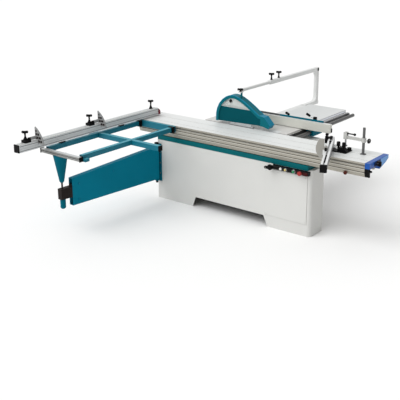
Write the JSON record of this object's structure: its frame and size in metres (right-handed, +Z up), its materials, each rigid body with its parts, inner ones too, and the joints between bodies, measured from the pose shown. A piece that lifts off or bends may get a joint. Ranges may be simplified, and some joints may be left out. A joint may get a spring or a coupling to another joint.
{
  "type": "sliding table saw",
  "caption": "Panel saw with a sliding aluminium table, crosscut frame on a swinging arm, tilting blade under a hood, rip fence and hold-down clamp.",
  "frame": {"origin": "centre of the floor anchor pattern, on the floor under the blade plane", "axes": "+X along the sliding table to the operator's end, +Y from the sliding table to the rip fence, +Z up"},
  "size_m": [2.981, 3.826, 1.373],
  "materials": {
    "cream": "satin off-white paint",
    "teal": "teal paint",
    "aluminium": "anodised extrusion",
    "steel": "ground steel",
    "cast": "planed cast iron",
    "grey": "grey paint",
    "dark": "dark paint",
    "black": "moulded black",
    "belt": "rubber belt",
    "blue": "blue plastic",
    "brown": "red-brown plastic",
    "lamp": "lens",
    "green": "green plastic",
    "red": "red plastic",
    "window": "clear sheet"
  },
  "bodies": {
    "base": {"base_cabinet": "cream", "front_panel": "cream", "saw_cabinet": "cream", "guide_beam": "teal", "lower_rail": "aluminium", "rail_rods": "steel", "hinge_bracket": "dark", "control_panel": "dark", "indicator_lamps": "lamp", "main_table": "cast", "table_insert": "aluminium", "trunnion_brackets": "cast", "extension_table": "cast", "rip_rail": "steel", "guard_post": "cream"},
    "selector": {"selector_knob": "black"},
    "green": {"button_green": "green"},
    "red": {"button_red": "red"},
    "tilt": {"tilt_frame": "cast"},
    "lift": {"arbor_carrier": "cast", "main_motor": "dark", "drive_belt": "belt", "riving_knife": "steel"},
    "arbor": {"main_arbor": "steel", "main_blade": "steel"},
    "motor_shaft": {"motor_pulley": "steel"},
    "scoring": {"scoring_blade": "steel"},
    "cage": {"ball_cage": "steel"},
    "lock": {"lock_knob": "brown"},
    "arm": {"swing_arm": "teal"},
    "arm_inner": {"arm_tube": "dark"},
    "stop1": {"stop_block_1": "black"},
    "fin1": {"stop_fin_1": "grey"},
    "stop2": {"stop_block_2": "black"},
    "fin2": {"stop_fin_2": "grey"},
    "mitre": {"mitre_fence": "aluminium"},
    "mitre_lever": {"mitre_lever": "black"},
    "mitre_stop": {"mitre_stop": "grey"},
    "clamp": {"clamp_arm": "grey"},
    "clamp_lever": {"clamp_lever": "black"},
    "spindle": {"clamp_spindle": "steel"},
    "rip_head": {"rip_head": "teal"},
    "rip_fence": {"rip_fence": "aluminium"},
    "rip_lever_a": {"rip_lever_1": "black"},
    "rip_lever_b": {"rip_lever_2": "black"},
    "guard_tube": {"guard_tube": "cream"},
    "hood": {"guard_hood": "teal", "guard_window": "window"},
    "table": {"carriage": "aluminium", "carriage_rods": "steel", "end_plate": "blue", "end_caps": "black", "push_handle": "dark", "frame_tubes": "teal", "frame_clamps": "black", "end_bar": "aluminium", "support_cone": "teal", "crosscut_fence": "aluminium", "mitre_base": "black", "clamp_column": "steel"}
  },
  "joints": [
    {"name": "table_slide", "type": "slide", "parent": "base", "child": "table", "axis": [1, 0, 0], "range_m": [-1, 1]},
    {"name": "cage_roll", "type": "slide", "parent": "base", "child": "cage", "axis": [1, 0, 0], "range_m": [-0.5, 0.5]},
    {"name": "arm_swing", "type": "hinge", "parent": "base", "child": "arm", "pos_m": [-0.972, -0.452, 0.42], "axis": [0, 0, 1], "range_deg": [-38, 38]},
    {"name": "arm_extend", "type": "slide", "parent": "arm", "child": "arm_inner", "axis": [-0.0668, -0.9978, 0], "range_m": [0, 0.5]},
    {"name": "lock_turn", "type": "hinge", "parent": "table", "child": "lock", "pos_m": [1.355, -0.415, 0.756], "axis": [0, 1, 0], "range_deg": [-90, 0]},
    {"name": "stop_1_slide", "type": "slide", "parent": "table", "child": "stop1", "axis": [0, 1, 0], "range_m": [-0.02, 0.5]},
    {"name": "stop_1_flip", "type": "hinge", "parent": "stop1", "child": "fin1", "pos_m": [-1.202, -1.973, 1.004], "axis": [0, -1, 0], "range_deg": [0, 100]},
    {"name": "stop_2_slide", "type": "slide", "parent": "table", "child": "stop2", "axis": [0, 1, 0], "range_m": [-0.1, 0.6]},
    {"name": "stop_2_flip", "type": "hinge", "parent": "stop2", "child": "fin2", "pos_m": [-1.202, -1.135, 1.004], "axis": [0, -1, 0], "range_deg": [0, 100]},
    {"name": "mitre_swing", "type": "hinge", "parent": "table", "child": "mitre", "pos_m": [1.071, -0.215, 0.93], "axis": [0, 0, 1], "range_deg": [-24.5, 20.5]},
    {"name": "mitre_lever_turn", "type": "hinge", "parent": "mitre", "child": "mitre_lever", "pos_m": [1.01709, -0.09671, 0.97], "axis": [0, 0, 1], "range_deg": [0, 90]},
    {"name": "mitre_stop_flip", "type": "hinge", "parent": "mitre", "child": "mitre_stop", "pos_m": [1.17928, -0.50083, 0.98], "axis": [-0.4147, 0.91, 0], "range_deg": [0, 90]},
    {"name": "clamp_height", "type": "slide", "parent": "table", "child": "clamp", "axis": [0, 0, 1], "range_m": [-0.02, 0.09]},
    {"name": "clamp_lever_turn", "type": "hinge", "parent": "clamp", "child": "clamp_lever", "pos_m": [1.21, -0.167, 1.058], "axis": [0, -1, 0], "range_deg": [0, 90]},
    {"name": "spindle_press", "type": "slide", "parent": "clamp", "child": "spindle", "axis": [0, 0, 1], "range_m": [-0.0164, 0]},
    {"name": "blade_tilt", "type": "hinge", "parent": "base", "child": "tilt", "pos_m": [0, 0, 0.88], "axis": [-1, 0, 0], "range_deg": [0, 45]},
    {"name": "blade_lift", "type": "slide", "parent": "tilt", "child": "lift", "axis": [0, 0, 1], "range_m": [-0.085, 0.015]},
    {"name": "blade_spin", "type": "hinge", "parent": "lift", "child": "arbor", "pos_m": [-0.11, 0, 0.7925], "axis": [0, 1, 0], "continuous": true},
    {"name": "motor_spin", "type": "hinge", "parent": "lift", "child": "motor_shaft", "pos_m": [0.15, 0, 0.615], "axis": [0, 1, 0], "continuous": true},
    {"name": "scoring_spin", "type": "hinge", "parent": "tilt", "child": "scoring", "pos_m": [0.19, 0, 0.814], "axis": [0, 1, 0], "continuous": true},
    {"name": "rip_slide", "type": "slide", "parent": "base", "child": "rip_head", "axis": [0, 1, 0], "range_m": [-0.19, 0.75]},
    {"name": "rip_fence_slide", "type": "slide", "parent": "rip_head", "child": "rip_fence", "axis": [1, 0, 0], "range_m": [-0.35, 0.1]},
    {"name": "rip_lever_1_turn", "type": "hinge", "parent": "rip_head", "child": "rip_lever_a", "pos_m": [0.305, 0.364, 0.96], "axis": [0, 0, 1], "range_deg": [-90, 0]},
    {"name": "rip_lever_2_turn", "type": "hinge", "parent": "rip_head", "child": "rip_lever_b", "pos_m": [0.565, 0.364, 0.98], "axis": [0, 0, 1], "range_deg": [-90, 0]},
    {"name": "guard_reach", "type": "slide", "parent": "base", "child": "guard_tube", "axis": [0, 1, 0], "range_m": [0, 0.15]},
    {"name": "guard_height", "type": "slide", "parent": "guard_tube", "child": "hood", "axis": [0, 0, 1], "range_m": [0, 0.045]},
    {"name": "selector_turn", "type": "hinge", "parent": "base", "child": "selector", "pos_m": [0.545, -0.44, 0.664], "axis": [0, 1, 0], "range_deg": [-45, 45]},
    {"name": "green_press", "type": "slide", "parent": "base", "child": "green", "axis": [0, 1, 0], "range_m": [0, 0.004], "stiffness_N_per_m": 400},
    {"name": "red_press", "type": "slide", "parent": "base", "child": "red", "axis": [0, 1, 0], "range_m": [0, 0.005], "stiffness_N_per_m": 400}
  ],
  "couplings": [
    {"joint": "cage_roll", "follows": "table_slide", "ratio": 0.5},
    {"joint": "arm_swing", "follows": "table_slide", "rad_per_m": 0.649},
    {"joint": "motor_spin", "follows": "blade_spin", "ratio": 0.69565},
    {"joint": "clamp_lever_turn", "follows": "spindle_press", "rad_per_m": -95}
  ]
}
